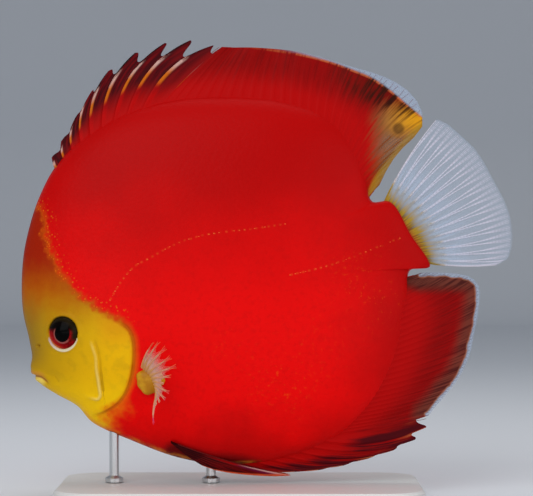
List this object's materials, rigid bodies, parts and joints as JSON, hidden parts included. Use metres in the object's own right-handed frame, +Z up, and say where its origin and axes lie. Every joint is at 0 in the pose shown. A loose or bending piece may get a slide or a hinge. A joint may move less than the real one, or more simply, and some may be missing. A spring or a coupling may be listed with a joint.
{
  "type": "discus fish model",
  "caption": "Life-size adult red discus fish, nose-down in a slow turn, with upright disc body, ray-ridged fins and yellow face, held on rods over a flat base.",
  "frame": {"origin": "middle of the underside of the display stand's base, on the floor", "axes": "+Z up, -X towards the fish's snout, -Y towards its left flank"},
  "size_m": [0.1525, 0.066, 0.1412],
  "materials": {
    "red_skin": "wet satin skin with fine scales",
    "yellow_skin": "wet satin skin",
    "fin": "thin wet membrane over rays",
    "clear_fin": "thin see-through membrane over pale rays",
    "eye": "polished, dark red round a black pupil",
    "stand": "satin",
    "rod": "satin"
  },
  "bodies": {
    "root": {"head": "yellow_skin", "trunk": "red_skin", "tail_stalk": "red_skin", "dorsal_fin_spines": "fin", "dorsal_fin_middle": "fin", "dorsal_fin_rear": "fin", "anal_fin_spines": "fin", "anal_fin_rear": "fin", "tail_fin": "clear_fin", "eye_left": "eye", "eye_right": "eye", "gill_cover_left": "yellow_skin", "gill_cover_right": "yellow_skin", "pectoral_fin_left": "clear_fin", "pectoral_fin_right": "clear_fin", "pelvic_fin_left": "fin", "pelvic_fin_right": "fin", "stand_base": "stand", "stand_rod_front": "rod", "stand_rod_rear": "rod"}
  },
  "joints": []
}
